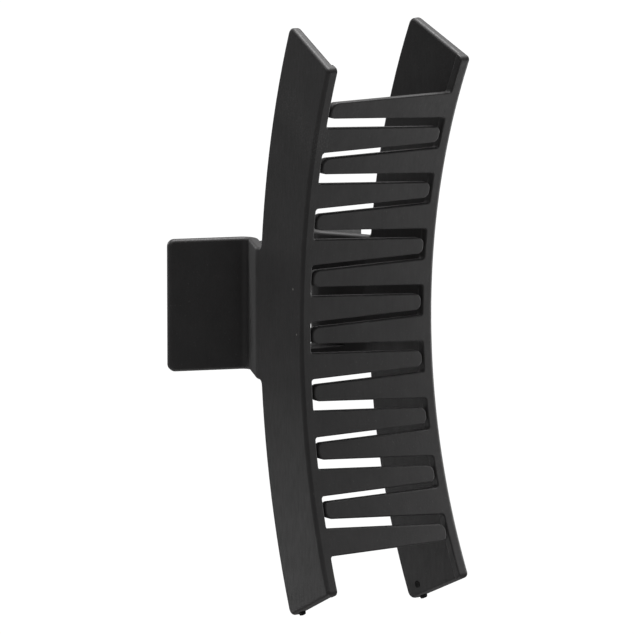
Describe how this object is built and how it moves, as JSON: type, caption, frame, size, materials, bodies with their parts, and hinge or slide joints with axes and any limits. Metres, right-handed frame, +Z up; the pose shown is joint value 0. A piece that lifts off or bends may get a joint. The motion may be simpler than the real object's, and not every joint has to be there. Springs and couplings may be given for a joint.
{
  "type": "sectioning clip",
  "caption": "Large spring hair claw with two arched comb jaws, interlocking teeth and squeeze tabs, for sectioning hair.",
  "frame": {"origin": "on the standing surface, under the middle of the closed clip", "axes": "+X along the clip and its hinge pin; +Y across it from the front jaw to the rear jaw; +Z up, from the four feet of the jaws to the squeeze tabs"},
  "size_m": [0.1126, 0.0452, 0.0459],
  "materials": {
    "moulded_plastic": "soft-touch matte black moulding",
    "pin_steel": "drawn steel rod",
    "spring_steel": "drawn spring wire"
  },
  "bodies": {
    "front_jaw": {"front_jaw": "moulded_plastic", "hinge_pin": "pin_steel", "torsion_spring": "spring_steel"},
    "rear_jaw": {"rear_jaw": "moulded_plastic"}
  },
  "joints": [
    {"name": "jaw_hinge", "type": "hinge", "parent": "front_jaw", "child": "rear_jaw", "pos_m": [0, 0, 0.03585], "axis": [1, 0, 0], "range_deg": [0, 110], "stiffness_Nm_per_rad": 0.15, "springref_deg": -34.38, "deforming": ["torsion_spring"]}
  ]
}
